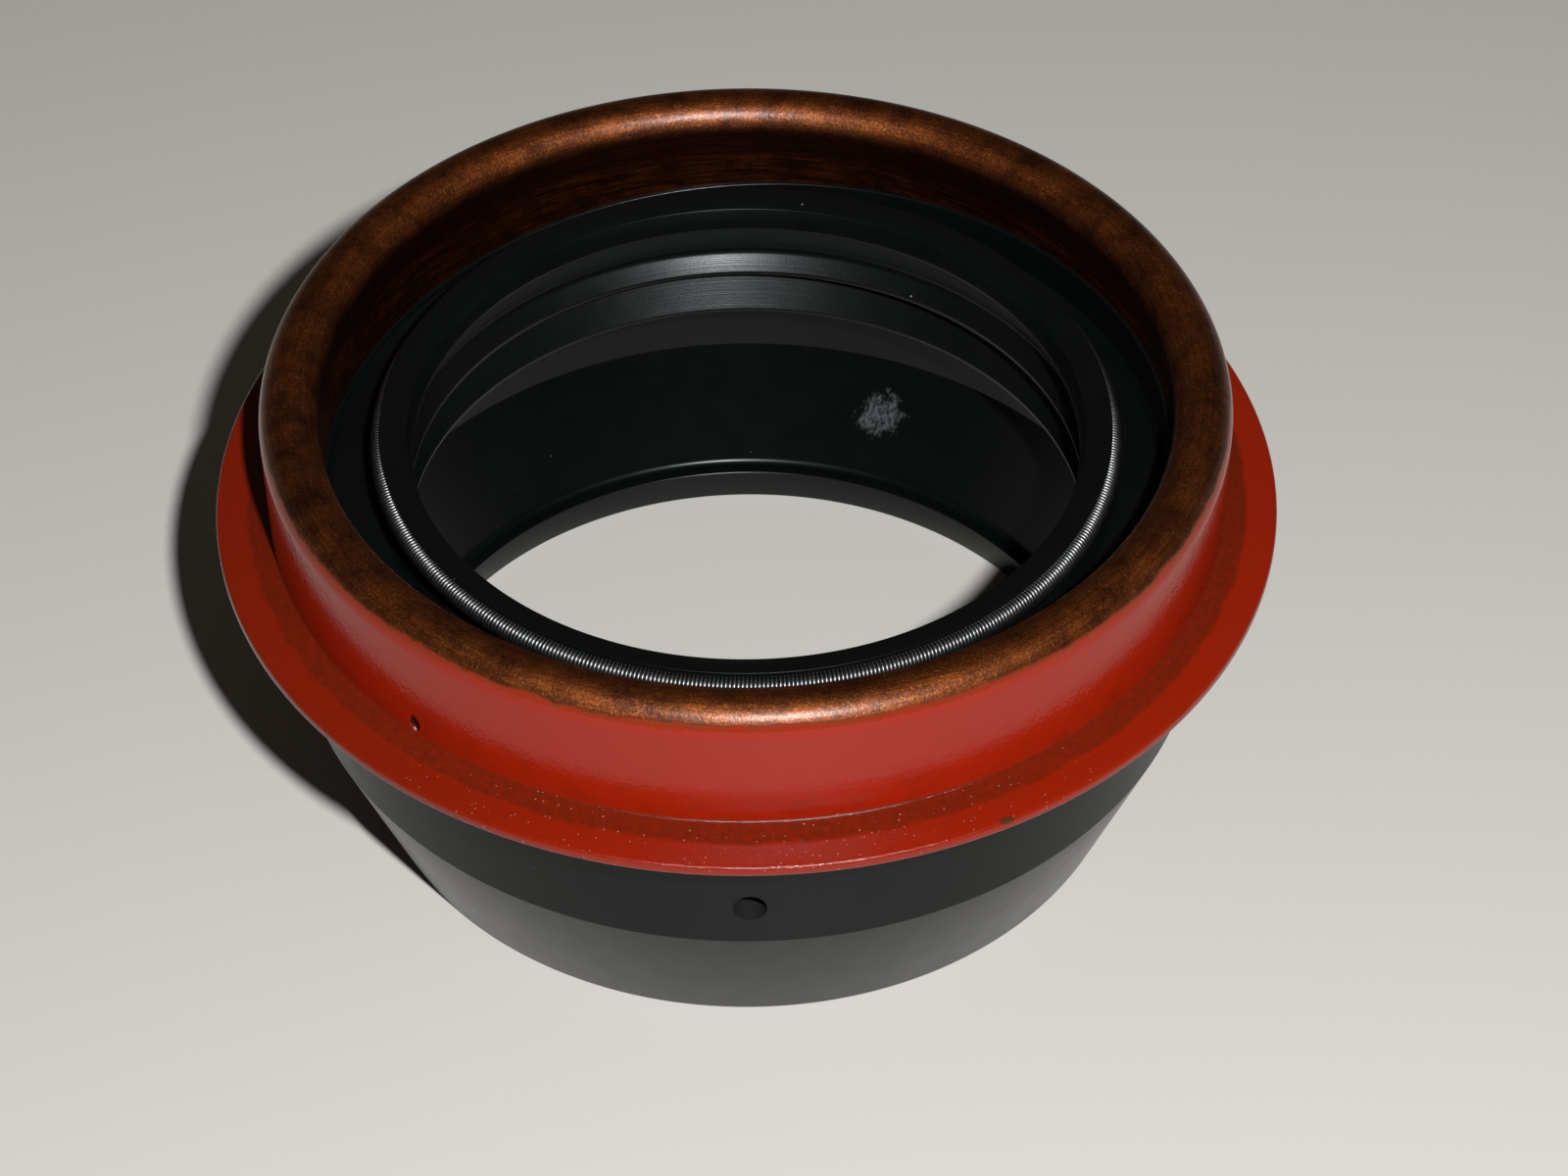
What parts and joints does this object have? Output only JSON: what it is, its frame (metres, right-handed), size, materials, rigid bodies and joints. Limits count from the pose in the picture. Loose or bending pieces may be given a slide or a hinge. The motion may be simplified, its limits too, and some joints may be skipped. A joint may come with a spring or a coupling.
{
  "type": "radial shaft seal",
  "caption": "Flanged radial shaft seal: folded steel case, moulded rubber lips on a garter spring, and a long tapered dust boot with a drain hole.",
  "frame": {"origin": "centre of the boot's foot, on the shaft's axis, where the seal stands on its foot", "axes": "+Z along the shaft's axis from the boot's foot to the oil side; -Y toward the boot's drain hole"},
  "size_m": [0.0738, 0.0738, 0.034],
  "materials": {
    "case_paint": "glossy orange-peel paint outside, copper lacquer over the rim and brown lacquer in the bore",
    "lip_rubber": "satin moulded rubber",
    "spring_steel": "bright drawn wire",
    "boot_rubber": "glossy moulded rubber"
  },
  "bodies": {
    "root": {"outer_case": "case_paint", "seal_lip": "lip_rubber", "garter_spring": "spring_steel", "dust_boot": "boot_rubber"}
  },
  "joints": []
}
